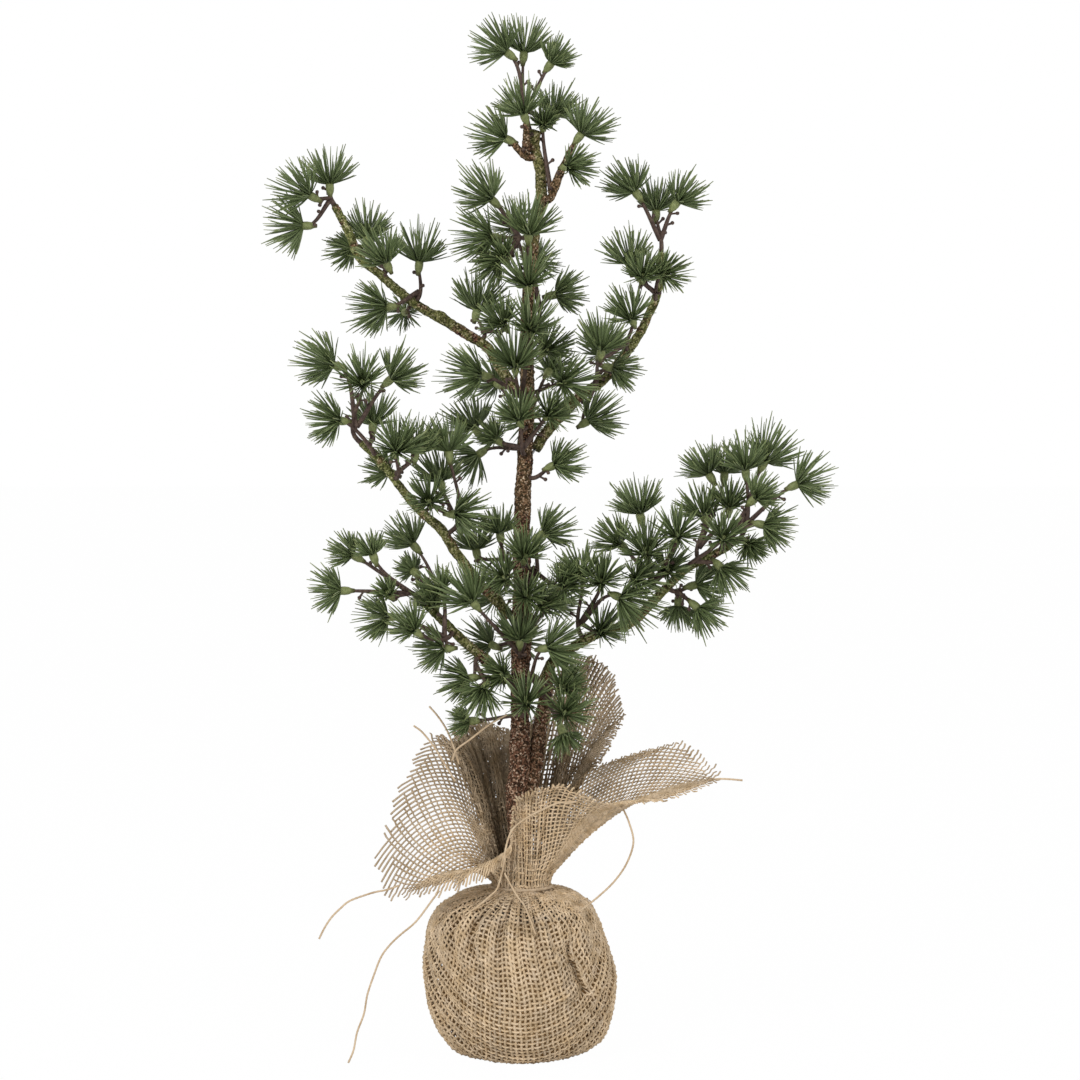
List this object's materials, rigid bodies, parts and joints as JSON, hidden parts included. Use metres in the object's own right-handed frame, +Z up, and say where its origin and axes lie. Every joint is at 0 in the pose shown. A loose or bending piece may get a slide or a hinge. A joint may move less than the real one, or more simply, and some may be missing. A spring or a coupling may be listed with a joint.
{
  "type": "artificial tabletop tree",
  "caption": "slim artificial tabletop pine with bendable wired branches and moulded needle sprays, standing in a cement-weighted pot wrapped in tied burlap",
  "frame": {"origin": "middle of the flat underside of the burlap-wrapped base, on the table", "axes": "+Z up along the trunk, -Y towards the viewer of the picture, +X to that viewer's right"},
  "size_m": [0.3237, 0.1276, 0.5967],
  "materials": {
    "pot_plastic": "matt",
    "cement": "rough cast",
    "burlap": "open plain weave",
    "jute": "hairy thread",
    "steel": "drawn",
    "bark": "rough, gritty",
    "needles": "matt moulded"
  },
  "bodies": {
    "trunk_and_base": {"base_cup": "pot_plastic", "cement_weight": "cement", "burlap_wrap": "burlap", "neck_twine": "jute", "trunk_rod": "steel", "trunk_bark": "bark", "crown_spray": "needles", "top_left_spray": "needles", "top_right_spray": "needles", "neck_left_spray": "needles", "neck_front_spray": "needles", "neck_right_spray": "needles", "centre_front_spray": "needles", "centre_low_spray": "needles", "centre_right_spray": "needles", "low_left_spray": "needles", "low_right_spray": "needles", "low_front_spray": "needles", "bottom_front_spray": "needles", "bottom_right_spray": "needles", "back_upper_spray": "needles", "back_low_spray": "needles", "left_long_thread": "jute", "left_short_thread": "jute", "right_thread": "jute", "front_thread": "jute", "front_thread_tail": "jute"},
    "upper_left": {"upper_left_bark": "bark", "upper_left_wire": "steel", "upper_left_tip_spray": "needles", "upper_left_crest_spray": "needles", "upper_left_fork_spray": "needles", "upper_left_inner_spray": "needles"},
    "upper_right": {"upper_right_bark": "bark", "upper_right_wire": "steel", "upper_right_tip_spray": "needles", "upper_right_mid_spray": "needles", "upper_right_front_spray": "needles", "upper_right_low_spray": "needles"},
    "mid_left": {"mid_left_bark": "bark", "mid_left_wire": "steel", "mid_left_tip_spray": "needles", "mid_left_outer_spray": "needles", "mid_left_front_spray": "needles", "mid_left_inner_spray": "needles"},
    "lower_left": {"lower_left_bark": "bark", "lower_left_wire": "steel", "lower_left_tip_spray": "needles", "lower_left_crest_spray": "needles", "lower_left_mid_spray": "needles", "lower_left_inner_spray": "needles"},
    "lower_right": {"lower_right_bark": "bark", "lower_right_wire": "steel", "lower_right_inner_spray": "needles", "lower_right_mid_spray": "needles", "lower_right_crest_spray": "needles", "lower_right_front_spray": "needles", "lower_right_outer_spray": "needles", "lower_right_tip_spray": "needles", "lower_right_under_spray": "needles"}
  },
  "joints": [
    {"name": "upper_left_bend", "type": "hinge", "parent": "trunk_and_base", "child": "upper_left", "pos_m": [-0.00179, 0.00756, 0.3834], "axis": [0, 1, 0], "range_deg": [-8, 12]},
    {"name": "upper_right_bend", "type": "hinge", "parent": "trunk_and_base", "child": "upper_right", "pos_m": [0.00822, 0.00727, 0.3514], "axis": [0, -1, 0], "range_deg": [-8, 8]},
    {"name": "mid_left_bend", "type": "hinge", "parent": "trunk_and_base", "child": "mid_left", "pos_m": [-0.00693, -0.00336, 0.2554], "axis": [0, 1, 0], "range_deg": [-6, 6]},
    {"name": "lower_left_bend", "type": "hinge", "parent": "trunk_and_base", "child": "lower_left", "pos_m": [-0.00812, -0.00409, 0.2174], "axis": [0, 1, 0], "range_deg": [-12, 6]},
    {"name": "lower_right_bend", "type": "hinge", "parent": "trunk_and_base", "child": "lower_right", "pos_m": [0.00763, 0.00031, 0.2084], "axis": [0, -1, 0], "range_deg": [-8, 8]}
  ]
}
